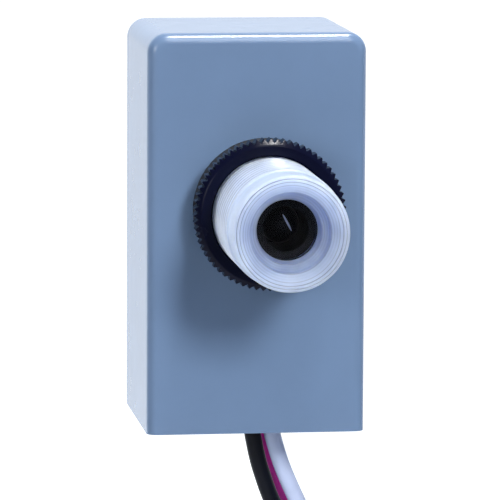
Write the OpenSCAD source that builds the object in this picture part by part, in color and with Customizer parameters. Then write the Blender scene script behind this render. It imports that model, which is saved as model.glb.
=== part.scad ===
// Wired-in photocell switch: a grey moulded housing, a clear threaded stem that lets the light in,
// a knurled locknut with its captive washer, and three flying leads.
// Millimetres, +Z up, front face towards -Y, origin on the stem axis in the plane of the front face.

/* [Housing] */
// Width across the front face
body_w = 29.5; // [28.8:0.1:36]
// Depth from the front face to the rear face
body_d = 25.8; // [23:0.1:36]
// Height from the lower rim to the top
body_h = 54; // [52:0.5:64]
// Radius of the rounded top corners and of the plan's corners inside
edge_r = 2.6; // [2.2:0.1:4]
// Radius of the rounded edge around the front face
front_r = 1.4; // [0.8:0.1:2]
// Thickness of the moulded walls
wall = 1.8; // [1.4:0.1:1.9]
// Distance from the top down to the stem axis
stem_drop = 23.6; // [22:0.1:26]
// Distance from the middle of the housing across to the stem axis
stem_offset = 0.9; // [0:0.1:1.2]
// Thickness of the base cap
cap_t = 2.4; // [1.8:0.1:3]

/* [Stem] */
// Diameter over the thread
stem_d = 15.6; // [14.8:0.1:16.4]
// Length of the stem in front of the housing
stem_l = 26; // [21:0.1:28]
// Length of the plain nose in front of the thread
nose_l = 5; // [4:0.1:8]
// Diameter of the spigot that passes through the wall
spigot_d = 12.6; // [11.6:0.1:13.2]
// Bore that holds the light shroud
stem_bore = 8; // [7.6:0.1:8.8]
// Depth of the recess in front of the window
recess_depth = 4.4; // [3.4:0.1:5]
// Thickness of the clear window
window_t = 1.6; // [1:0.1:2.2]
// Radius of the rounded front rim
rim_r = 0.6; // [0.4:0.1:1.1]

/* [Locknut and washer] */
// Diameter over the teeth
nut_d = 20.4; // [18.6:0.1:24]
// Thickness of the nut
nut_t = 3.6; // [2.6:0.1:4.8]
// Number of teeth around the rim
nut_teeth = 68; // [48:1:80]
// Depth of a tooth
tooth_depth = 0.55; // [0.3:0.05:0.6]
// Chamfer on both edges of the rim
nut_chamfer = 0.85; // [0.65:0.05:1]
// Diameter of the captive washer
washer_d = 19.2; // [17.6:0.1:20]
// Thickness of the captive washer
washer_t = 3.4; // [1.2:0.1:3.6]

/* [Light sensor] */
// Bore of the light shroud
shroud_bore = 5.9; // [5.6:0.1:6.4]
// Diameter of the sensor's dome
sensor_d = 5; // [4.6:0.1:5.2]
// Length of the sensor from its foot to the tip of its dome
sensor_l = 7; // [6:0.1:9]
// Depth of the sensor's tip behind the window
sensor_depth = 3.2; // [2:0.1:5]

/* [Circuit board] */
// Distance from the front face to the board
board_setback = 9; // [8.4:0.1:9.6]
// Thickness of the board
board_t = 1.6; // [1.2:0.1:2]
// Height of the bay for the leads under the relay
lead_bay = 12.6; // [12:0.1:14]
// Width of the relay
relay_w = 19; // [16:0.1:20]
// Height of the relay
relay_h = 15; // [12:0.1:17]
// Gap between the relay and the rear wall
relay_gap = 0.9; // [0.4:0.1:4]
// Height of the film capacitor
film_h = 6; // [5:0.1:7]
// Gap between the film capacitor and the rear wall
film_gap = 3; // [1:0.1:5]
// Diameter of the electrolytic capacitor
elec_d = 8; // [6.6:0.1:8.4]
// Gap between the electrolytic capacitor and the rear wall
elec_gap = 1.9; // [0.6:0.1:4]
// Diameter of the varistor
varistor_d = 9; // [7:0.1:9.4]
// Thickness of the varistor
varistor_t = 3.6; // [2.6:0.1:4.4]
// Diameter of the dropper resistor
dropper_d = 4; // [3:0.1:4.4]

/* [Leads] */
// Diameter over the insulation
lead_d = 2.3; // [2:0.05:2.35]
// Diameter of the bare strands
strand_d = 1.2; // [0.9:0.05:1.5]
// Length of the bare strands
strand_l = 9; // [6:0.5:12]
// Diameter of the grommet's bore
grommet_bore = 5.6; // [5.4:0.1:6]
// Wall of the grommet inside the base cap
grommet_wall = 1; // [0.8:0.1:1.4]
// Thickness of the tie's band
tie_t = 0.6; // [0.4:0.1:1]
// Height of the tie's band
tie_h = 4; // [2:0.5:6]

/* [Hidden] */
$fn = 64;
eps = 0.01;

// Clearances
run_gap = 0.06;      // radial, nut and washer on the stem
press_gap = 0.02;    // radial, rings and tubes that are pushed home
slip_gap = 0.1;      // pieces that slide together and are glued
board_gap = 0.25;    // board edge to the side walls
tip_gap = 0.2;       // tips of the nut's teeth to the turned blank
part_gap = 1;        // between parts on the board

// Housing
top_z = stem_drop;
bottom_z = stem_drop - body_h;
edge_z = top_z - edge_r;
corner_x = body_w/2 - edge_r;
inner_x = body_w/2 - wall;
spigot_hole = spigot_d + 2*slip_gap;
cap_top = bottom_z + cap_t;

// Guide rails for the board
rail_y = [board_setback - slip_gap, board_setback + board_t + slip_gap];
rail_t = 1.2;
rail_grip = 1.2;
board_x = inner_x - board_gap;
board_top = edge_z;
rail_x = board_x - rail_grip;

// Stem, measured forward from the front face
seal_t = 0.5;
seal_margin = 0.4;
spigot_end = wall + 3.2;
nose_step = 0.2;
nose_r = stem_d/2 - nose_step;
window_front = stem_l - recess_depth;
window_back = window_front - window_t;
recess_floor_r = stem_bore/2 + 0.4;
recess_step_r = recess_floor_r + 0.9;
recess_mouth_r = nose_r - 1.3;
recess_step_at = [window_front + recess_depth*0.35, stem_l - recess_depth*0.25];
ring_t = 0.8;
ring_w = 2.2;

// Locknut
nut_face_r = nut_d/2 - nut_chamfer;
blank_r = nut_d/2 + tip_gap;

// Shroud and sensor, measured forward from the front face
shroud_d = stem_bore - 2*slip_gap;
shroud_front = window_back - slip_gap;
sensor_tip = window_back - sensor_depth;
sensor_foot = sensor_tip - sensor_l;
foot_t = 1;
foot_d = shroud_bore - 2*press_gap;
sensor_wire_d = 0.5;
sensor_wire_x = 1.27;

// Parts on the rear of the board, stacked upwards from the lead bay
board_back = board_setback + board_t;
rear_room = body_d - wall - board_back;
relay_reach = rear_room - relay_gap;
film_reach = rear_room - film_gap;
elec_reach = rear_room - elec_gap;
column_x = rail_x/2;
film_margin = 0.6;
film_w = rail_x - 2*film_margin;
solder_r = [1.1, 0.6];
solder_h = 0.9;
relay_z = cap_top + lead_bay;
film_z = max(relay_z + relay_h + part_gap, shroud_d/2 + solder_r[0] + slip_gap - film_h/2);
elec_z = film_z + elec_d/2;
upper_z = film_z + max(film_h, elec_d) + part_gap;
varistor_z = upper_z + varistor_t/2;
dropper_z = upper_z + dropper_d/2;
varistor_lift = 1;
dropper_lift = 0.6;
dropper_wire_out = 1;
dropper_wire_x = column_x - solder_r[0] - slip_gap;
dropper_l = 2*(dropper_wire_x - dropper_wire_out);
pin_d = 0.8;
pin_hole = pin_d + 2*slip_gap;
pin_out = 1.2;
pin_inset = 2;
film_pin_inset = 1;
elec_pin_x = 1.25;
varistor_pin_x = 2.5;
relay_pins = [for (x = [-1, 1], z = [pin_inset, relay_h - pin_inset])
    [x*(relay_w/2 - pin_inset), relay_z + z]];
film_pins = [for (x = [-1, 1]) [-column_x + x*(film_w/2 - film_pin_inset), film_z + film_h/2]];
elec_pins = [for (x = [-1, 1]) [column_x + x*elec_pin_x, elec_z]];
varistor_pins = [for (x = [-1, 1]) [-column_x + x*varistor_pin_x, varistor_z]];
dropper_pins = [for (x = [-1, 1]) [column_x + x*dropper_wire_x, dropper_z]];
pins = concat(relay_pins, film_pins, elec_pins, varistor_pins, dropper_pins);

// Flat parts on the front of the board: width, height and reach, and the place of the centre
rectifier_size = [5.6, 4.6, 2.6];
transistor_size = [5, 3.6, 1.7];
diode_size = [4.4, 2.6, 2.2];
chip_size = [3.2, 1.6, 0.6];
chip_row_x = (relay_w/2 - pin_inset - solder_r[0])/2;
chip_row_z = min(relay_z + relay_h/2, -shroud_d/2 - part_gap - rectifier_size.y/2);
bay_z = relay_z - lead_bay/2;
chip_pitch = [5.2, 1.7];
chip_xz = [for (x = [-1, 1], z = [-1, 1]) [x*chip_pitch.x, bay_z + z*chip_pitch.y]];

// Leads: the route of each from its terminal down through the grommet, then the folded hank,
// measured from the middle of the grommet at the lower rim
grommet_d = grommet_bore + 2*grommet_wall;
flange_w = 1;
flange_t = 1;
flange_gap = 0.6;
lead_exit = [1.95, board_back + grommet_d/2 + flange_w + flange_gap, bottom_z];
line_start = [[-1.4, -0.55, 8.6], [-1.4, -0.55, 4], [-1.4, -0.55, -1], [-1, -0.5, -4], [0, -0.45, -8],
    [1.9, -0.4, -13], [5, -0.2, -18], [8.2, 0, -23]];
load_start = [[-0.2, 1.5, 8.6], [-0.2, 1.5, 4], [-0.2, 1.5, -1], [0.3, 1.6, -4], [1.4, 1.8, -8],
    [3.4, 2.1, -13], [6.3, 2.3, -18], [8.7, 2.5, -23]];
neutral_start = [[1.2, -0.7, 8.6], [1.2, -0.7, 4], [1.2, -0.7, -1], [1.8, -0.9, -4], [3.1, -1.2, -8],
    [5.3, -1.5, -13], [7.6, -2, -18], [9.2, -2.4, -23]];
hank = [[10, -28], [10, -34], [10, -40], [10, -45], [10, -50], [8, -55], [3, -57], [-2, -55], [-4, -50],
    [-4, -44], [-4, -37], [-4, -30], [-6, -25], [-11, -23], [-16, -25], [-18, -30], [-18, -36], [-18, -42],
    [-18, -49], [-18, -56]];
line_lane = 0;
load_lane = 2.5;
neutral_lane = -2.5;
lead_sides = 8;
function route(start, lane) = [for (p = concat(start, [for (q = hank) [q.x, lane, q.y]])) lead_exit + p];
line_route = route(line_start, line_lane);
load_route = route(load_start, load_lane);
neutral_route = route(neutral_start, neutral_lane);
terminal_d = 2;
terminal_l = 5;
tab_t = 0.8;
tie_z = -40;
tie_tuck = 1.1;
tie_inner_r = norm([tie_tuck, (load_lane - neutral_lane)/2]) + lead_d/2 + slip_gap;
tie_ends = [hank[len(hank) - 1].x + tie_tuck, hank[0].x - tie_tuck];

// Moves pieces that are laid out about the middle of the housing to their place beside the stem axis
module in_housing() translate([-stem_offset, 0, 0]) children();

// Turns a profile of [radius, distance forward] about the stem axis
module turned() rotate([90, 0, 0]) rotate_extrude() children();

// A flat ring or a straight tube about the stem axis
module ring(outer, inner, from, to) turned()
    translate([inner/2, from]) square([(outer - inner)/2, to - from]);

// Plan of the room inside the housing, closed in all round from the outside by inset
module plan(inset) {
    r = edge_r - inset;
    half_w = body_w/2 - inset;
    translate([-half_w, edge_r]) square([2*half_w, body_d - inset - edge_r]);
    translate([-corner_x, inset]) square([2*corner_x, r]);
    for (x = [0, 1]) mirror([x, 0]) translate([corner_x, edge_r]) mirror([0, 1]) quarter_disc(r);
}

// Front outline of the housing, closed in by inset at the sides and the top
module outline(inset) {
    translate([-corner_x, bottom_z]) square([2*corner_x, body_h - inset]);
    translate([inset - body_w/2, bottom_z]) square([body_w - 2*inset, body_h - edge_r]);
    for (x = [0, 1]) mirror([x, 0]) translate([corner_x, edge_z]) quarter_disc(edge_r - inset);
}

// The outside of the housing: pieces that meet face to face around the rounded front edge
module outer_block() {
    translate([0, body_d, 0]) rotate([90, 0, 0]) linear_extrude(body_d - front_r) outline(0);
    translate([0, front_r, 0]) rotate([90, 0, 0]) linear_extrude(front_r) outline(front_r);
    translate([-corner_x, front_r, top_z - front_r]) rotate([90, 0, 90]) linear_extrude(2*corner_x)
        mirror([1, 0]) quarter_disc(front_r);
    for (x = [0, 1]) mirror([x, 0, 0]) {
        translate([body_w/2 - front_r, front_r, bottom_z]) linear_extrude(body_h - edge_r)
            mirror([0, 1]) quarter_disc(front_r);
        translate([corner_x, front_r, edge_z]) rotate([90, 0, 0]) rotate_extrude(angle = 90)
            translate([edge_r - front_r, 0]) quarter_disc(front_r);
    }
}

// The room inside the housing, open below
module inner_room() for (x = [0, 1]) mirror([x, 0, 0]) translate([corner_x, edge_r, edge_z])
    half_room(edge_r - wall, edge_z - bottom_z + 1, body_d - wall - edge_r);

// Half of the room about the middle of its top front corner, whose pieces meet face to face
module half_room(r, drop, reach) {
    rotate([0, 0, -90]) rotate_extrude(angle = 90) edge_profile(r, drop);
    translate([-corner_x, 0, 0]) rotate([90, 0, 90]) linear_extrude(corner_x)
        mirror([1, 0]) edge_profile(r, drop);
    rotate([90, 0, 180]) linear_extrude(reach) mirror([1, 0]) edge_profile(r, drop);
    translate([-corner_x, 0, -drop]) cube([corner_x, reach, drop + r]);
}

// Section of an upright wall with a rounded upper edge
module edge_profile(r, drop) {
    quarter_disc(r);
    translate([0, -drop]) square([r, drop]);
}

module quarter_disc(r) intersection() {
    circle(r);
    square(r);
}

module housing() color([0.44, 0.53, 0.66]) {
    difference() {
        in_housing() outer_block();
        in_housing() inner_room();
        rotate([-90, 0, 0]) translate([0, 0, -1]) cylinder(d = spigot_hole, h = wall + 2);
    }
    in_housing() for (x = [-1, 1], y = [rail_y[0] - rail_t, rail_y[1]]) guide_rail(x, y);
}

// One rib of the slot that holds the board's edge, let into the side wall
module guide_rail(side, y) {
    outer_x = inner_x + wall/2;
    from_x = side > 0 ? rail_x : -outer_x;
    translate([from_x, y, cap_top]) cube([outer_x - rail_x, rail_t, top_z - wall/2 - cap_top]);
}

module base_cap() color([0.4, 0.49, 0.62]) difference() {
    in_housing() translate([0, 0, bottom_z]) linear_extrude(cap_t) plan(wall + slip_gap);
    translate(lead_exit - [0, 0, 1]) cylinder(d = grommet_d, h = cap_t + 2);
}

module lead_grommet() color([0.08, 0.08, 0.09]) translate(lead_exit) difference() {
    union() {
        translate([0, 0, -flange_t]) cylinder(d = grommet_d + 2*flange_w, h = flange_t);
        translate([0, 0, -eps]) cylinder(d = grommet_d - 2*press_gap, h = cap_t + 2*eps);
        translate([0, 0, cap_t]) cylinder(d = grommet_d + 2*flange_w, h = flange_t);
    }
    translate([0, 0, -2*flange_t]) cylinder(d = grommet_bore, h = cap_t + 4*flange_t);
}

module stem() color([0.86, 0.89, 0.95, 0.6]) turned() {
    polygon([[stem_bore/2, -spigot_end], [spigot_d/2, -spigot_end], [spigot_d/2, seal_t],
        [stem_d/2, seal_t], [stem_d/2, stem_l - nose_l], [nose_r, stem_l - nose_l],
        [nose_r, stem_l - rim_r], [nose_r - rim_r, stem_l], [recess_mouth_r, stem_l - rim_r/2],
        [recess_step_r, recess_step_at[1]], [recess_step_r, recess_step_at[0]],
        [recess_floor_r, recess_step_at[0]], [recess_floor_r, window_front], [0, window_front],
        [0, window_back], [stem_bore/2, window_back]]);
    translate([nose_r - rim_r, stem_l - rim_r]) quarter_disc(rim_r);
}

module stem_seal() color([0.1, 0.1, 0.11])
    ring(stem_d - 2*seal_margin, spigot_d + 2*press_gap, 0, seal_t);

module retaining_ring() color([0.7, 0.71, 0.73])
    ring(spigot_d + 2*ring_w, spigot_d + 2*press_gap, -wall - ring_t, -wall);

module seal_washer() color([0.07, 0.07, 0.08])
    ring(washer_d, stem_d + 2*run_gap, 0, washer_t);

module locknut() color([0.06, 0.06, 0.08]) difference() {
    intersection() {
        translate([0, -washer_t, 0]) rotate([90, 0, 0]) linear_extrude(nut_t) toothed_outline();
        turned() translate([0, washer_t])
            polygon([[0, 0], [nut_face_r, 0], [blank_r, nut_chamfer + tip_gap],
                [blank_r, nut_t - nut_chamfer - tip_gap], [nut_face_r, nut_t], [0, nut_t]]);
    }
    rotate([90, 0, 0]) cylinder(d = stem_d + 2*run_gap, h = washer_t + nut_t + 1);
}

// Outline of the nut's rim: pointed teeth with pointed gaps between them
module toothed_outline() polygon([for (i = [0:2*nut_teeth - 1])
    let (r = nut_d/2 - (i % 2)*tooth_depth, a = i*180/nut_teeth) [r*cos(a), r*sin(a)]]);

module light_shroud() color([0.05, 0.05, 0.06])
    ring(shroud_d, shroud_bore, -board_setback, shroud_front);

module photo_sensor() color([0.12, 0.1, 0.14]) {
    turned() {
        translate([0, sensor_foot]) square([foot_d/2, foot_t]);
        translate([0, sensor_foot]) square([sensor_d/2, sensor_l - sensor_d/2]);
        translate([0, sensor_tip - sensor_d/2]) quarter_disc(sensor_d/2);
    }
    for (x = [-1, 1]) translate([x*sensor_wire_x, board_setback, 0]) rotate([90, 0, 0])
        cylinder(d = sensor_wire_d, h = board_setback + sensor_foot + eps);
}

module circuit_board() color([0.16, 0.36, 0.2]) in_housing() difference() {
    translate([-board_x, board_setback, cap_top]) cube([2*board_x, board_t, board_top - cap_top]);
    for (p = pins) translate([p.x, board_setback - 1, p.y]) rotate([-90, 0, 0])
        cylinder(d = pin_hole, h = board_t + 2);
}

// Pins that stand through the board from its rear
module through_pins(places) for (p = places) translate([p.x, board_setback - pin_out, p.y])
    rotate([-90, 0, 0]) cylinder(d = pin_d, h = pin_out + board_t + eps);

module relay() color([0.1, 0.11, 0.13]) in_housing() {
    translate([-relay_w/2, board_back, relay_z]) cube([relay_w, relay_reach, relay_h]);
    through_pins(relay_pins);
}

module film_capacitor() color([0.72, 0.6, 0.2]) in_housing() {
    translate([-column_x - film_w/2, board_back, film_z]) cube([film_w, film_reach, film_h]);
    through_pins(film_pins);
}

module electrolytic_capacitor() color([0.12, 0.14, 0.3]) in_housing() {
    translate([column_x, board_back, elec_z]) rotate([-90, 0, 0]) cylinder(d = elec_d, h = elec_reach);
    through_pins(elec_pins);
}

module varistor() color([0.12, 0.3, 0.5]) in_housing() {
    translate([-column_x, board_back + varistor_lift + varistor_d/2, varistor_z - varistor_t/2])
        cylinder(d = varistor_d, h = varistor_t);
    through_pins(varistor_pins);
    for (p = varistor_pins) translate([p.x, board_back, p.y]) rotate([-90, 0, 0])
        cylinder(d = pin_d, h = varistor_lift + varistor_d/2);
}

module dropper_resistor() color([0.75, 0.68, 0.55]) in_housing() {
    axis_y = board_back + dropper_lift + dropper_d/2;
    translate([column_x - dropper_l/2, axis_y, dropper_z]) rotate([0, 90, 0])
        cylinder(d = dropper_d, h = dropper_l);
    translate([column_x - dropper_wire_x, axis_y, dropper_z]) rotate([0, 90, 0])
        cylinder(d = pin_d, h = 2*dropper_wire_x);
    through_pins(dropper_pins);
    for (p = dropper_pins) translate([p.x, board_back, p.y]) rotate([-90, 0, 0])
        cylinder(d = pin_d, h = dropper_lift + (dropper_d + pin_d)/2);
}

// A flat part with its back on the front of the board
module chip(size, place) translate([place.x - size.x/2, board_setback - size.z, place.y - size.y/2])
    cube([size.x, size.z, size.y]);

module rectifier() color([0.08, 0.08, 0.09]) in_housing() chip(rectifier_size, [-chip_row_x, chip_row_z]);

module transistor() color([0.08, 0.08, 0.09]) in_housing() chip(transistor_size, [chip_row_x, chip_row_z]);

module surge_diode() color([0.08, 0.08, 0.09]) in_housing() chip(diode_size, [0, bay_z]);

module chip_resistors() color([0.1, 0.1, 0.12]) in_housing() for (p = chip_xz) chip(chip_size, p);

module solder_joints() color([0.72, 0.73, 0.75]) in_housing() for (p = pins)
    translate([p.x, board_setback, p.y]) rotate([90, 0, 0]) difference() {
        cylinder(r1 = solder_r[0], r2 = solder_r[1], h = solder_h);
        translate([0, 0, -1]) cylinder(d = pin_hole, h = solder_h + 2);
    }

module lead_terminals() color([0.75, 0.74, 0.7]) {
    terminal(line_route[0], terminal_l - 2*tab_t);
    terminal(load_route[0], terminal_l);
    terminal(neutral_route[0], terminal_l - 2*tab_t);
}

// A sleeve on the end of a lead, with a tab at its top that is soldered to the board
module terminal(foot, height) translate(foot) {
    cylinder(d = terminal_d, h = height);
    translate([-tab_t/2, board_back - foot.y, height - tab_t]) cube([tab_t, foot.y - board_back, tab_t]);
}

function unit(v) = v/norm(v);
function route_direction(route, i) =
    unit(route[min(i + 1, len(route) - 1)] - route[max(i - 1, 0)]);

// A ring of points square to the route; every route lies close to a plane of constant depth
function route_ring(route, i) =
    let (d = route_direction(route, i), u = unit(cross(d, [0, 1, 0])), v = cross(u, d))
    [for (k = [0:lead_sides - 1]) let (a = 360*k/lead_sides) route[i] + lead_d/2*(cos(a)*u + sin(a)*v)];

module tube(route) {
    n = lead_sides;
    last = (len(route) - 1)*n;
    points = [for (i = [0:len(route) - 1]) each route_ring(route, i)];
    walls = [for (i = [0:len(route) - 2], k = [0:n - 1], t = [0, 1])
        let (a = i*n + k, b = i*n + (k + 1) % n) t == 0 ? [a, b, b + n] : [a, b + n, a + n]];
    polyhedron(points, concat(walls, [[for (k = [n - 1:-1:0]) k]], [[for (k = [0:n - 1]) last + k]]));
}

// Bare strands that carry on straight down from the end of a lead
module strands(route) translate(route[len(route) - 1] - [0, 0, strand_l])
    cylinder(d = strand_d, h = strand_l);

module line_lead() color([0.06, 0.06, 0.07]) tube(line_route);

module load_lead() color([0.78, 0.12, 0.35]) tube(load_route);

module neutral_lead() color([0.85, 0.87, 0.93]) tube(neutral_route);

module line_strands() color([0.8, 0.5, 0.33]) strands(line_route);

module load_strands() color([0.8, 0.5, 0.33]) strands(load_route);

module neutral_strands() color([0.8, 0.5, 0.33]) strands(neutral_route);

module lead_tie() color([0.1, 0.1, 0.11]) translate(lead_exit + [0, line_lane, tie_z - tie_h/2])
    linear_extrude(tie_h) difference() {
        tie_outline(tie_inner_r + tie_t);
        tie_outline(tie_inner_r);
    }

// A flat loop with round ends
module tie_outline(r) {
    for (x = tie_ends) translate([x, 0]) circle(r);
    translate([tie_ends[0], -r]) square([tie_ends[1] - tie_ends[0], 2*r]);
}

housing();
base_cap();
lead_grommet();
stem();
stem_seal();
retaining_ring();
seal_washer();
locknut();
light_shroud();
photo_sensor();
circuit_board();
relay();
film_capacitor();
electrolytic_capacitor();
varistor();
dropper_resistor();
rectifier();
transistor();
surge_diode();
chip_resistors();
solder_joints();
lead_terminals();
line_lead();
load_lead();
neutral_lead();
line_strands();
load_strands();
neutral_strands();
lead_tie();
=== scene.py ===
import bmesh
import bpy
import numpy as np
from mathutils import Matrix, Vector


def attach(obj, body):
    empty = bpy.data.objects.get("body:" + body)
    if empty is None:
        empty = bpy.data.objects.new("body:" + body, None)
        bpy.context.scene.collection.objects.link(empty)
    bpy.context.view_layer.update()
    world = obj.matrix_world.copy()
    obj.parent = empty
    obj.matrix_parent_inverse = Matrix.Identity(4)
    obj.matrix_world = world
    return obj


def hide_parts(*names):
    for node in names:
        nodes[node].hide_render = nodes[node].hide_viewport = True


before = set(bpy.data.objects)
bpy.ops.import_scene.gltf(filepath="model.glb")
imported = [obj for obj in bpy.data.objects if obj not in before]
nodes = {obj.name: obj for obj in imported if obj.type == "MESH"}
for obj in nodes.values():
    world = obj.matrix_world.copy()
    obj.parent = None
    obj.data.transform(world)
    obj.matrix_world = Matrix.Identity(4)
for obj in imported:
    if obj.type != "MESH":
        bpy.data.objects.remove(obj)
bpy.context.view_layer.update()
scene = bpy.context.scene
mm = 0.001
print("frame loaded:", len(nodes), "nodes")


# Camera, from the fit of the box outline to the picture; the image is 500 by 500.
cameraSet = {
    "place": (-81.2739, -578.2012, 73.9158),  # mm
    "right": (0.9907815, -0.135382, 0.0048731),
    "up": (0.0134643, 0.1342033, 0.9908623),
    "lens": 316.8,  # mm
    "sensor": 36.0,  # mm
    "clip": (0.02, 20.0),  # m
}


def makeCamera(setting):
    right, up = Vector(setting["right"]).normalized(), Vector(setting["up"]).normalized()
    back = right.cross(up)
    turn = Matrix((right, up, back)).transposed().to_4x4()
    data = bpy.data.cameras.new("studioCamera")
    data.lens, data.sensor_width = setting["lens"], setting["sensor"]
    data.clip_start, data.clip_end = setting["clip"]
    camera = bpy.data.objects.new("studioCamera", data)
    scene.collection.objects.link(camera)
    camera.matrix_world = Matrix.Translation(Vector(setting["place"]) * mm) @ turn
    scene.camera = camera


makeCamera(cameraSet)
scene.view_settings.view_transform = "Standard"
print("camera set")


# Shape tools: every new piece is a grid of points, rows along a profile or path and columns around it.
mergeWithin = 1e-7  # m


def steps(corners, counts):
    # straight runs between the corners, each cut into its own number of equal steps
    corners = np.asarray(corners, float)
    runs = [a + (b - a) * np.linspace(0, 1, n, endpoint=False)[:, None]
            for a, b, n in zip(corners[:-1], corners[1:], counts)]
    return np.concatenate(runs + [corners[-1:]])


def arc(centre, radius, start, end, count):
    # points of a circle about the centre from the start angle to the end angle, in degrees
    t = np.radians(np.linspace(start, end, count))
    return np.stack([centre[0] + radius * np.cos(t), centre[1] + radius * np.sin(t)], -1)


def turned(radius, forward, angle):
    # each row is a circle of that radius about the stem axis, that far in front of the housing, which is -Y
    ring = np.ones_like(angle)
    return np.stack([radius * np.cos(angle), -forward * ring, radius * np.sin(angle)], -1)


def splinePath(points, perStep):
    # a uniform Catmull-Rom curve: a cubic through each pair of points, with slopes from their neighbours
    p = np.asarray(points, float)
    p = np.concatenate([2 * p[:1] - p[1:2], p, 2 * p[-1:] - p[-2:-1]])
    a, b, c, d = (p[k:len(p) - 3 + k, None, :] for k in range(4))
    t = np.linspace(0, 1, perStep, endpoint=False)[None, :, None]
    curve = 0.5 * (2 * b + (c - a) * t + (2 * a - 5 * b + 4 * c - d) * t**2
                   + (3 * b - a - 3 * c + d) * t**3)
    return np.concatenate([curve.reshape(-1, 3), p[-2:-1]])


def tubeGrid(path, radius, sides):
    # a circle carried along the path: its plane is spanned by two directions square to the path,
    # one of them near Y
    slope = np.gradient(path, axis=0)
    slope /= np.linalg.norm(slope, axis=1, keepdims=True)
    across = np.cross(slope, (0.0, 1.0, 0.0))
    across /= np.linalg.norm(across, axis=1, keepdims=True)
    along = np.cross(across, slope)
    t = np.linspace(0, 2 * np.pi, sides, endpoint=False)[None, :, None]
    ring = np.asarray(radius, float).reshape(-1, 1, 1)
    return path[:, None] + ring * (np.cos(t) * across[:, None] + np.sin(t) * along[:, None])


def capped(grid):
    # a row gathered to one point at each end closes the tube
    ends = [np.broadcast_to(grid[k].mean(0), grid[:1].shape) for k in (0, -1)]
    return np.concatenate([ends[0], grid, ends[1]])


def bell(distance, width):
    # e to the power of minus the square of distance over width
    return np.exp(-(distance / width) ** 2)


def makePiece(name, grids, finish, body, replaced=(), closedRows=False, sharpAngle=35.0,
              shade=None):
    # grids are joined as quads, wrapped around the columns; doubles at seams and poles are merged,
    # faces turned outward
    points, faces, first = [], [], 0
    for grid in grids:
        rows, cols = grid.shape[:2]
        index = first + np.arange(rows * cols).reshape(rows, cols)
        if closedRows:
            index = np.concatenate([index, index[:1]])
        side = np.roll(index, -1, axis=1)
        faces.append(np.stack([index[:-1], side[:-1], side[1:], index[1:]], -1).reshape(-1, 4))
        points.append(grid.reshape(-1, 3))
        first += rows * cols
    mesh = bpy.data.meshes.new(name)
    mesh.from_pydata((np.concatenate(points) * mm).tolist(), [], np.concatenate(faces).tolist())
    if shade is not None:
        carried = mesh.attributes.new("shade", "FLOAT", "POINT")
        carried.data.foreach_set("value", shade.reshape(-1).astype(np.float32))
    shape = bmesh.new()
    shape.from_mesh(mesh)
    bmesh.ops.remove_doubles(shape, verts=shape.verts, dist=mergeWithin)
    bmesh.ops.recalc_face_normals(shape, faces=shape.faces)
    shape.to_mesh(mesh)
    shape.free()
    mesh.shade_smooth()
    mesh.set_sharp_from_angle(angle=np.radians(sharpAngle))
    mesh.materials.append(finish)
    piece = bpy.data.objects.new(name, mesh)
    scene.collection.objects.link(piece)
    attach(piece, body)
    if replaced:
        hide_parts(*replaced)
    print("made", name, len(mesh.polygons), "faces")
    return piece


# Finishes: a coarse noise drifts the colour, a finer one the roughness, the finest gives the bump.
noiseRange = (0.3, 0.7)  # most of a noise lies between these


def linear(tone):
    c = np.asarray(tone, float) / 255
    return np.where(c <= 0.04045, c / 12.92, ((c + 0.055) / 1.055) ** 2.4)


def noise(tree, coords, scale, detail):
    node = tree.nodes.new("ShaderNodeTexNoise")
    node.inputs["Scale"].default_value = scale
    node.inputs["Detail"].default_value = detail
    tree.links.new(coords, node.inputs["Vector"])
    return node.outputs["Fac"]


def makeFinish(name, tone, drift=0.08, patch=120.0, rough=(0.3, 0.4), grain=2500.0, bump=0.04,
               depth=0.00003, shaded=None, **sockets):
    material = bpy.data.materials.new(name)
    material.use_nodes = True
    tree = material.node_tree
    shader = tree.nodes["Principled BSDF"]
    coords = tree.nodes.new("ShaderNodeTexCoord").outputs["Object"]
    ramp = tree.nodes.new("ShaderNodeValToRGB")
    base = linear(tone)
    for stop, share, place in zip(ramp.color_ramp.elements, (1 - drift, 1 + drift), noiseRange):
        stop.color = (*np.clip(base * share, 0, 1), 1)
        stop.position = place
    tree.links.new(noise(tree, coords, patch, 4), ramp.inputs["Fac"])
    colour = ramp.outputs["Color"]
    if shaded:
        # the painted shade carried by the points draws the colour towards a darker one
        mix = tree.nodes.new("ShaderNodeMix")
        mix.data_type = "RGBA"
        carried = tree.nodes.new("ShaderNodeAttribute")
        carried.attribute_name = "shade"
        tree.links.new(carried.outputs["Fac"], mix.inputs["Factor"])
        tree.links.new(colour, mix.inputs["A"])
        mix.inputs["B"].default_value = (*linear(shaded), 1)
        colour = mix.outputs["Result"]
    tree.links.new(colour, shader.inputs["Base Color"])
    spread = tree.nodes.new("ShaderNodeMapRange")
    spread.inputs["From Min"].default_value, spread.inputs["From Max"].default_value = noiseRange
    spread.inputs["To Min"].default_value, spread.inputs["To Max"].default_value = rough
    tree.links.new(noise(tree, coords, patch * 4, 3), spread.inputs["Value"])
    tree.links.new(spread.outputs["Result"], shader.inputs["Roughness"])
    if bump:
        relief = tree.nodes.new("ShaderNodeBump")
        relief.inputs["Strength"].default_value = bump
        relief.inputs["Distance"].default_value = depth
        tree.links.new(noise(tree, coords, grain, 2), relief.inputs["Height"])
        tree.links.new(relief.outputs["Normal"], shader.inputs["Normal"])
    for socket, value in sockets.items():
        shader.inputs[socket.replace("_", " ")].default_value = value
    return material


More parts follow.
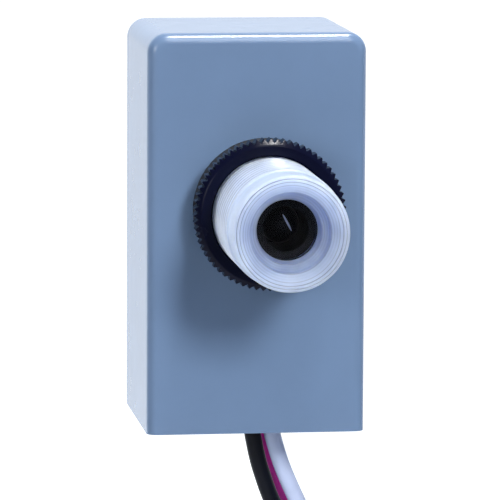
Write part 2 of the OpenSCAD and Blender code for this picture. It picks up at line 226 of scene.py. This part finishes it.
finishes = {
    "housingGrey": makeFinish("housingGrey", (109, 133, 166), drift=0.03, rough=(0.21, 0.23), bump=0),
    # frosted stem: its colour is drawn towards dark blue where its points carry painted shade, in the thread
    # grooves, the recess and along the rim's edges
    "frostedClear": makeFinish("frostedClear", (182, 198, 236), drift=0.1, patch=300, rough=(0.32, 0.42),
                               bump=0, shaded=(34, 46, 94), Transmission_Weight=0.15, IOR=1.42,
                               Subsurface_Weight=0.9, Subsurface_Scale=0.011,
                               Subsurface_Radius=(1.0, 1.0, 1.2)),
    "clearWindow": makeFinish("clearWindow", (240, 243, 250), drift=0.02, rough=(0.02, 0.05), bump=0.02,
                              Transmission_Weight=1.0, IOR=1.2),
    "nutBlack": makeFinish("nutBlack", (9, 12, 34), drift=0.12, rough=(0.2, 0.28), bump=0,
                           Specular_IOR_Level=0.12),
    "washerRubber": makeFinish("washerRubber", (24, 25, 29), drift=0.15, rough=(0.62, 0.78), grain=6000,
                               bump=0.2),
    "springSteel": makeFinish("springSteel", (178, 182, 188), rough=(0.22, 0.36), Metallic=1.0),
    "tinnedMetal": makeFinish("tinnedMetal", (196, 198, 200), rough=(0.2, 0.42), bump=0.1, Metallic=1.0),
    "shroudBlack": makeFinish("shroudBlack", (7, 8, 13), drift=0.1, rough=(0.6, 0.72), bump=0.03,
                              Specular_IOR_Level=0.15),
    "sensorDark": makeFinish("sensorDark", (8, 9, 20), drift=0.1, rough=(0.3, 0.4), bump=0,
                             Specular_IOR_Level=0.1),
    # pale bluish finish of the painted glint, a strip standing in for a reflection on the sensor's dome
    "paintedGlint": makeFinish("paintedGlint", (196, 208, 240), drift=0.06, rough=(0.2, 0.3), bump=0.01),
    "boardGreen": makeFinish("boardGreen", (32, 92, 58), drift=0.14, patch=260, rough=(0.28, 0.4),
                             Coat_Weight=0.3),
    "caseBlack": makeFinish("caseBlack", (30, 30, 33), drift=0.12, rough=(0.4, 0.55), bump=0.12),
    "filmYellow": makeFinish("filmYellow", (214, 168, 44), drift=0.08, rough=(0.3, 0.42)),
    "sleeveBlue": makeFinish("sleeveBlue", (34, 54, 104), drift=0.1, rough=(0.25, 0.36)),
    "varistorBlue": makeFinish("varistorBlue", (48, 96, 158), drift=0.1, rough=(0.3, 0.45), bump=0.15),
    "resistorTan": makeFinish("resistorTan", (198, 170, 128), drift=0.08, rough=(0.35, 0.5)),
    "chipBlack": makeFinish("chipBlack", (26, 26, 28), drift=0.12, rough=(0.4, 0.55)),
    "leadBlack": makeFinish("leadBlack", (8, 11, 22), drift=0.15, rough=(0.34, 0.48), bump=0.03,
                            Specular_IOR_Level=0.25),
    "leadRed": makeFinish("leadRed", (236, 40, 172), drift=0.1, rough=(0.34, 0.48), bump=0.03),
    "leadWhite": makeFinish("leadWhite", (196, 208, 238), drift=0.04, rough=(0.34, 0.48), bump=0.03),
    "copperWire": makeFinish("copperWire", (196, 118, 78), drift=0.12, patch=600, rough=(0.2, 0.36),
                             Metallic=1.0),
    "tieBlack": makeFinish("tieBlack", (24, 24, 27), drift=0.1, rough=(0.4, 0.55), bump=0.1),
}
print("finishes:", len(finishes))

# Which finish each solid of the part wears.
dressed = {
    "housing": "housingGrey", "base_cap": "housingGrey", "lead_grommet": "washerRubber",
    "stem_seal": "washerRubber", "retaining_ring": "springSteel", "seal_washer": "washerRubber",
    "light_shroud": "shroudBlack", "photo_sensor": "sensorDark", "circuit_board": "boardGreen",
    "relay": "caseBlack",
    "film_capacitor": "filmYellow", "electrolytic_capacitor": "sleeveBlue", "varistor": "varistorBlue",
    "dropper_resistor": "resistorTan", "rectifier": "chipBlack", "transistor": "chipBlack",
    "surge_diode": "chipBlack", "chip_resistors": "chipBlack", "solder_joints": "tinnedMetal",
    "lead_terminals": "tinnedMetal", "lead_tie": "tieBlack", "stem": "frostedClear", "locknut": "nutBlack",
    "line_lead": "leadBlack", "load_lead": "leadRed", "neutral_lead": "leadWhite",
    "line_strands": "copperWire", "load_strands": "copperWire", "neutral_strands": "copperWire",
}
for nodeName, finishName in dressed.items():
    mesh = nodes[nodeName].data
    if not mesh.materials:
        mesh.materials.append(None)
    for place in range(len(mesh.materials)):
        mesh.materials[place] = finishes[finishName]
print("solids dressed:", len(dressed))


# Leads: each runs down from the grommet, is folded into a hank under the housing, and ends in bare strands.
leadSet = {
    "exit": (1.95, 16.0, -30.4),
    "diameter": 2.3,
    "sides": 28,
    "perStep": 10,
    "endRound": 0.3,
    "endRows": 6,
    "endShare": 0.7,  # of the radius, left at the very end
    "leastStep": 0.01,
    "flange": 1.0,  # the grommet's lip below the base
    "hank": ((10, -28), (10, -34), (10, -40), (10, -45), (10, -50), (8, -55), (3, -57), (-2, -55), (-4, -50),
             (-4, -44), (-4, -37), (-4, -30), (-6, -25), (-11, -23), (-16, -25), (-18, -30), (-18, -36),
             (-18, -42), (-18, -49), (-18, -56)),
}
leadStarts = {
    "line": {"lane": 0.0, "finish": "leadBlack", "slot": "lead_black",
             "down": ((-1.4, -0.55, 8.6), (-1.4, -0.55, 4), (-1.4, -0.55, -1), (-1, -0.5, -4),
                      (0, -0.45, -8), (1.9, -0.4, -13), (5, -0.2, -18), (8.2, 0, -23))},
    "load": {"lane": 2.5, "finish": "leadRed", "slot": "lead_red",
             "down": ((-0.2, 1.5, 8.6), (-0.2, 1.5, 4), (-0.2, 1.5, -1), (0.3, 1.6, -4), (1.4, 1.8, -8),
                      (3.4, 2.1, -13), (6.3, 2.3, -18), (8.7, 2.5, -23))},
    "neutral": {"lane": -2.5, "finish": "leadWhite", "slot": "lead_white",
                "down": ((1.2, -0.7, 8.6), (1.2, -0.7, 4), (1.2, -0.7, -1), (1.8, -0.9, -4), (3.1, -1.2, -8),
                         (5.3, -1.5, -13), (7.6, -2, -18), (9.2, -2.4, -23))},
}
strandSet = {
    "wires": 6, "wire": 0.4, "length": 9.0, "lay": 11.0, "sides": 10, "rows": 48,
    "tucked": 0.6,  # mm inside the insulation
    "pointFrom": 0.98, "pointCut": 0.8,  # share of the length and of the squared radius
}


def leadRoute(start):
    # the run down from the grommet, then the hank's folds in the lead's own lane
    hank = [(x, start["lane"], z) for x, z in leadSet["hank"]]
    return np.array(leadSet["exit"]) + np.array(list(start["down"]) + hank)


def roundedRadius(path, radius, end):
    # the tube keeps its radius until the last stretch, where a quarter ellipse takes its edge off
    gone = np.concatenate([[0], np.cumsum(np.linalg.norm(np.diff(path, axis=0), axis=1))])
    left = np.clip((gone[-1] - gone) / end, 0, 1)
    share = leadSet["endShare"]
    return radius * (share + (1 - share) * np.sqrt(1 - (1 - left) ** 2))


def strandGrids(tip):
    # one straight wire down the middle and the others wound about it as helices, each drawn in at its tip
    height = np.linspace(strandSet["tucked"], -strandSet["length"], strandSet["rows"])
    path = tip + height[:, None] * np.array((0.0, 0.0, 1.0))
    share = np.linspace(0, 1, strandSet["rows"])
    drawn = np.clip((share - strandSet["pointFrom"]) / (1 - strandSet["pointFrom"]), 0, 1)
    wire = strandSet["wire"] / 2 * np.sqrt(1 - strandSet["pointCut"] * drawn**2)
    turns = 2 * np.pi / strandSet["lay"]
    across, along = np.array((1.0, 0.0, 0.0)), np.array((0.0, 1.0, 0.0))
    grids = [capped(tubeGrid(path, wire, strandSet["sides"]))]
    for k in range(strandSet["wires"]):
        wind = turns * (path[0, 2] - path[:, 2]) + 2 * np.pi * k / strandSet["wires"]
        helix = path + strandSet["wire"] * (np.cos(wind)[:, None] * across + np.sin(wind)[:, None] * along)
        grids.append(capped(tubeGrid(helix, wire, strandSet["sides"])))
    return grids


for leadName, start in leadStarts.items():
    coarse = splinePath(leadRoute(start), leadSet["perStep"])
    height = np.linspace(leadSet["endRound"], 0, leadSet["endRows"])
    tail = coarse[-1] + height[:, None] * np.array((0.0, 0.0, 1.0))
    path = np.concatenate([coarse[:-1], tail[tail[:, 2] < coarse[-2, 2] - leadSet["leastStep"]]])
    radius = roundedRadius(path, leadSet["diameter"] / 2, leadSet["endRound"])
    lead = makePiece(leadName + "LeadTube", [capped(tubeGrid(path, radius, leadSet["sides"]))],
                     finishes[start["finish"]], "housing", [leadName + "_lead"])
    bare = makePiece(leadName + "BareStrands", strandGrids(path[-1]), finishes["copperWire"], "housing",
                     [leadName + "_strands"], sharpAngle=60)


# Stem: a turned clear moulding with a fine thread, a plain nose, a beaded rim and a stepped recess in front.
stemSet = {
    "sides": 168, "boreR": 4.0, "spigotR": 6.3, "spigotBack": -5.0, "shoulder": 0.5,
    "threadR": 7.8, "threadEnd": 20.8, "pitch": 1.5, "threadDepth": 0.42, "rowsPerPitch": 12,
    "runIn": 1.0, "runOut": 2.5, "valleyTop": 1.25, "valleySlope": 1.6,
    "noseR": 7.6, "noseStart": 21.0, "rimR": 0.36,
    "beadR": 6.95, "bead": 0.18, "beadFoot": 25.76, "beadLift": 0.06,
    "outerGroove": (0.04, 0.05), "innerGroove": (0.05, 0.06),  # outward from the bead's foot, and down
    "mouthR": 6.3, "mouthAt": 25.56, "stepR": 5.3, "stepFrom": 24.9, "stepTo": 23.14, "floorR": 4.4,
    "windowFront": 21.6, "windowBack": 20.0,
}
# How dark each part of the stem's painted shade is, from 0 to 1, and where it lies, in mm.
stemShadeSet = {
    "groove": 0.85, "grooveFrom": 0.22, "grooveOver": 0.3,
    "recess": 0.06, "recessMargin": 0.1, "recessOver": 0.5,
    "ripple": 0.26, "ringGap": 0.33, "rippleMean": 0.6, "rippleSwing": 0.4, "rippleTurn": 0.8,
    "beadLine": 0.75, "beadGap": 0.03, "edgeLine": 0.5, "lineWidth": 0.05, "frontBand": 0.1,
}


def stemProfile(s):
    # radius and advance from the bore around the spigot, the thread, the nose and the bead into the recess
    threadRows = int((s["threadEnd"] - s["shoulder"]) / s["pitch"] * s["rowsPerPitch"])
    foot, bead = s["beadFoot"], s["bead"]
    outer, inner = s["beadR"] + bead, s["beadR"] - bead
    return np.concatenate([
        steps([(s["boreR"], s["windowFront"]), (s["boreR"], s["spigotBack"]),
               (s["spigotR"], s["spigotBack"]), (s["spigotR"], s["shoulder"]),
               (s["threadR"], s["shoulder"])], (14, 3, 6, 3))[:-1],
        steps([(s["threadR"], s["shoulder"]), (s["threadR"], s["threadEnd"])], (threadRows,)),
        steps([(s["noseR"], s["noseStart"]), (s["noseR"], foot - s["rimR"])], (5,))[:-1],
        arc((s["noseR"] - s["rimR"], foot - s["rimR"]), s["rimR"], 0, 90, 8),
        steps([(outer + s["outerGroove"][0], foot - s["outerGroove"][1]), (outer, foot)], (1,))[:-1],
        arc((s["beadR"], foot + s["beadLift"]), bead, 0, 180, 9),
        steps([(inner, foot), (inner - s["innerGroove"][0], foot - s["innerGroove"][1]),
               (s["mouthR"], s["mouthAt"]), (s["stepR"], s["stepFrom"]), (s["stepR"], s["stepTo"]),
               (s["floorR"], s["stepTo"]), (s["floorR"], s["windowFront"])], (1, 6, 14, 6, 12, 5)),
    ])


def stemShade(s, k, radius, forward, angle, valley):
    # the darkest of the painted shade in the thread's grooves, the recess with its cosine rings, and the
    # bell-curve lines at the edges
    inside = np.clip((s["beadR"] - k["recessMargin"] - radius) / k["recessOver"], 0, 1)
    inside = inside * (forward >= s["windowFront"])
    ring = 0.5 + 0.5 * np.cos(2 * np.pi * (radius - s["stepR"]) / k["ringGap"])
    ripple = inside * ring * (k["rippleMean"] + k["rippleSwing"] * np.cos(2 * angle - k["rippleTurn"]))
    beadSides = bell(np.abs(radius - s["beadR"]) - s["bead"] - k["beadGap"], k["lineWidth"])
    beadSides = beadSides * (forward > s["beadFoot"] - k["frontBand"])
    step = bell(radius - s["stepR"], k["lineWidth"]) * (forward > s["stepFrom"] - k["frontBand"])
    edges = (bell(radius - s["mouthR"], k["lineWidth"]) + step) * inside
    lines = np.maximum(k["beadLine"] * beadSides, k["edgeLine"] * edges)
    groove = k["groove"] * np.clip((valley - k["grooveFrom"]) / k["grooveOver"], 0, 1)
    return np.maximum(np.maximum(groove, k["recess"] * inside + k["ripple"] * ripple), lines)


def stemGrid(s, k):
    # the profile turned about the axis; the thread lowers the radius by a sharp-crested wave
    # of advance minus angle
    angle = np.linspace(0, 2 * np.pi, s["sides"], endpoint=False)[None, :]
    profile = stemProfile(s)
    radius, forward = profile[:, :1], profile[:, 1:]
    wave = np.abs(2 * ((forward / s["pitch"] - angle / (2 * np.pi)) % 1.0) - 1)
    fadeIn = np.clip((forward - s["shoulder"]) / s["runIn"], 0, 1)
    fadeOut = np.clip((s["threadEnd"] - forward) / s["runOut"], 0, 1)
    onThread = np.isclose(radius, s["threadR"]) * fadeIn * fadeOut
    valley = onThread * np.clip(s["valleyTop"] - s["valleySlope"] * wave, 0, 1)
    points = turned(radius - s["threadDepth"] * valley, forward, angle)
    return points, stemShade(s, k, radius, forward, angle, valley)


# the stem's points carry painted shade for its thread grooves, recess and rim edges
stemPoints, stemPaintedShade = stemGrid(stemSet, stemShadeSet)
makePiece("threadedStem", [stemPoints], finishes["frostedClear"], "housing", ["stem"],
          closedRows=True, sharpAngle=32, shade=stemPaintedShade)

# Window: a thin clear disc moulded into the stem, slightly crowned in front.
windowSet = {"sides": 96, "rows": 12, "radius": 3.98, "edge": 0.12, "crown": 0.12}


def windowGrid(w, s):
    # a disc turned about the axis: a crowned front that falls with the square of the radius, and a flat back
    angle = np.linspace(0, 2 * np.pi, w["sides"], endpoint=False)[None, :]
    out = np.linspace(0, w["radius"] - w["edge"], w["rows"])
    front = np.stack([out, s["windowFront"] + w["crown"] * (1 - (out / w["radius"]) ** 2)], -1)
    back = np.stack([out[::-1], np.full(w["rows"], s["windowBack"])], -1)
    rim = np.array([(w["radius"], s["windowFront"] - w["edge"]), (w["radius"], s["windowBack"] + w["edge"])])
    profile = np.concatenate([front, rim, back])
    return turned(profile[:, :1], profile[:, 1:], angle)


makePiece("frontWindow", [windowGrid(windowSet, stemSet)], finishes["clearWindow"], "housing",
          ["stem"])

# Painted glint: a slim pale ridge that lies across the sensor's dome, standing in for a reflection of light
# on it.
glintStripSet = {
    "dome": 2.5, "centre": 14.3, "from": (0.1, 1.43), "to": (1.27, -0.78), "radius": 0.15,
    "endShare": 0.15, "rows": 24, "sides": 12,
}


def glintStripGrid(c):
    # the straight line between two places is lifted onto the sphere; the radius swells from the ends
    # as the square root of a sine
    t = np.linspace(0, 1, c["rows"])[:, None]
    flat = np.array(c["from"]) * (1 - t) + np.array(c["to"]) * t
    lift = np.sqrt(c["dome"] ** 2 - (flat**2).sum(1))
    path = np.stack([flat[:, 0], -(c["centre"] + lift), flat[:, 1]], -1)
    swell = c["endShare"] + (1 - c["endShare"]) * np.sin(np.pi * t[:, 0]) ** 0.5
    return capped(tubeGrid(path, c["radius"] * swell, c["sides"]))


makePiece("paintedGlintStrip", [glintStripGrid(glintStripSet)], finishes["paintedGlint"], "housing")

# Locknut: a black ring with a knurl of pointed teeth, chamfered at both faces.
nutSet = {
    "teeth": 68, "perTooth": 8, "back": 3.4, "front": 7.0, "boreR": 7.86, "boreChamfer": 0.24, "rootR": 9.65,
    "tipR": 10.2, "tipFlat": 0.1, "faceR": 9.35, "chamfer": 0.85,
    "edgeR": 0.1, "roundR": 0.07, "roundArc": (80, 50), "lip": 0.06,
}


def nutGrid(n):
    # the radius is the smaller of a triangle wave around the ring and the chamfered profile
    angle = np.linspace(0, 2 * np.pi, n["teeth"] * n["perTooth"], endpoint=False)[None, :]
    rise = np.abs(2 * ((n["teeth"] * angle / (2 * np.pi)) % 1.0) - 1)
    tooth = n["rootR"] + (n["tipR"] - n["rootR"]) * np.clip(rise * (1 + n["tipFlat"]), 0, 1)
    face, bore, bevel = n["faceR"], n["boreR"], n["boreChamfer"]
    flat, back, front = face - n["edgeR"], n["back"], n["front"]
    profile = np.concatenate([
        steps([(bore, back + bevel), (bore, front - bevel), (bore + bevel, front), (flat, front)],
              (6, 2, 5)),
        arc((flat, front - n["roundR"]), n["roundR"], *n["roundArc"], 3),
        steps([(face + n["lip"], front - n["lip"]), (n["tipR"], front - n["chamfer"]),
               (n["tipR"], back + n["chamfer"]), (face, back), (bore + bevel, back)], (8, 8, 8, 5)),
    ])
    radius, forward = profile[:, :1], profile[:, 1:]
    return turned(np.minimum(radius, tooth), forward, angle)


makePiece("knurledLocknut", [nutGrid(nutSet)], finishes["nutBlack"], "nut", ["locknut"],
          closedRows=True, sharpAngle=28)


# Stage: a plain pale floor that glows behind, a bright surround behind and soft lights around the part.
stageSet = {
    "floorAt": -0.0962, "floorSize": 6.0, "floorRows": 9, "floorTone": (196, 200, 206),
    "glowTone": (0.97, 0.99, 1.0), "glow": 0.9, "glowFrom": 0.05, "glowTo": 0.32,
    "surround": (0.96, 1.0, 1.05), "behind": 1.1, "infront": 0.1, "turnFrom": 0.2, "turnTo": 0.75,
}
# Lights: each panel hangs that far from the origin in its direction, in m; some are not reflected, and one
# is only reflected.
lightSet = {
    "keyPanel": {"toward": (0.19, -0.9, 0.385), "away": 0.75, "size": (0.13, 0.17), "power": 0.305,
                 "spread": 50, "glossy": False},
    "fillPanel": {"toward": (-0.6, -0.75, 0.2), "away": 0.8, "size": (0.3, 0.3), "power": 0.12,
                  "spread": 50},
    "sidePanel": {"toward": (-0.64, 0.77, 0.1), "away": 0.6, "size": (0.3, 0.3), "power": 0.5,
                  "spread": 60, "glossy": False},
    "overheadStrip": {"toward": (0.163, -0.06, 0.985), "away": 0.5, "size": (0.22, 0.05), "power": 0.32,
                      "spread": 60},
    "skyPanel": {"toward": (0.163, -0.68, 0.71), "away": 0.6, "size": (0.18, 0.5), "power": 0.25,
                 "spread": 70, "diffuse": False},
}


def fadeNode(tree, value, fromRange, toRange):
    # a smooth step from one value to another
    fade = tree.nodes.new("ShaderNodeMapRange")
    fade.interpolation_type = "SMOOTHSTEP"
    fade.inputs["From Min"].default_value, fade.inputs["From Max"].default_value = fromRange
    fade.inputs["To Min"].default_value, fade.inputs["To Max"].default_value = toRange
    tree.links.new(value, fade.inputs["Value"])
    return fade.outputs["Result"]


def partOf(tree, coords, axis):
    split = tree.nodes.new("ShaderNodeSeparateXYZ")
    tree.links.new(coords, split.inputs["Vector"])
    return split.outputs[axis]


def makeFloor(setting):
    # a flat square grid
    half, count = setting["floorSize"] / 2, setting["floorRows"]
    x, y = np.meshgrid(np.linspace(-half, half, count), np.linspace(-half, half, count))
    points = np.stack([x, y, np.full_like(x, setting["floorAt"])], -1).reshape(-1, 3)
    index = np.arange(count * count).reshape(count, count)
    faces = np.stack([index[:-1, :-1], index[:-1, 1:], index[1:, 1:], index[1:, :-1]], -1).reshape(-1, 4)
    mesh = bpy.data.meshes.new("paleFloor")
    mesh.from_pydata(points.tolist(), [], faces.tolist())
    floor = bpy.data.objects.new("paleFloor", mesh)
    scene.collection.objects.link(floor)
    finish = makeFinish("paleFloor", setting["floorTone"], drift=0.01, patch=8, rough=(0.7, 0.8), grain=300,
                        bump=0.01)
    tree = finish.node_tree
    shader = tree.nodes["Principled BSDF"]
    shader.inputs["Emission Color"].default_value = (*setting["glowTone"], 1)
    back = partOf(tree, tree.nodes.new("ShaderNodeTexCoord").outputs["Object"], "Y")
    glow = fadeNode(tree, back, (setting["glowFrom"], setting["glowTo"]), (0, setting["glow"]))
    tree.links.new(glow, shader.inputs["Emission Strength"])
    mesh.materials.append(finish)


def makeSurround(setting):
    world = bpy.data.worlds.new("studioSurround")
    scene.world = world
    world.use_nodes = True
    tree = world.node_tree
    background = tree.nodes["Background"]
    background.inputs["Color"].default_value = (*setting["surround"], 1)
    back = partOf(tree, tree.nodes.new("ShaderNodeTexCoord").outputs["Generated"], "Y")
    strength = fadeNode(tree, back, (setting["turnFrom"], setting["turnTo"]),
                        (setting["infront"], setting["behind"]))
    tree.links.new(strength, background.inputs["Strength"])


def makeLight(name, light):
    data = bpy.data.lights.new(name, "AREA")
    data.shape, data.energy, data.spread = "RECTANGLE", light["power"], np.radians(light["spread"])
    data.size, data.size_y = light["size"]
    lamp = bpy.data.objects.new(name, data)
    scene.collection.objects.link(lamp)
    lamp.visible_camera = False
    lamp.visible_glossy = light.get("glossy", True)
    lamp.visible_diffuse = light.get("diffuse", True)
    toward = Vector(light["toward"]).normalized()
    turn = toward.to_track_quat("Z", "Y").to_matrix().to_4x4()
    lamp.matrix_world = Matrix.Translation(toward * light["away"]) @ turn


makeFloor(stageSet)
makeSurround(stageSet)
for lightName, light in lightSet.items():
    makeLight(lightName, light)
print("stage set")
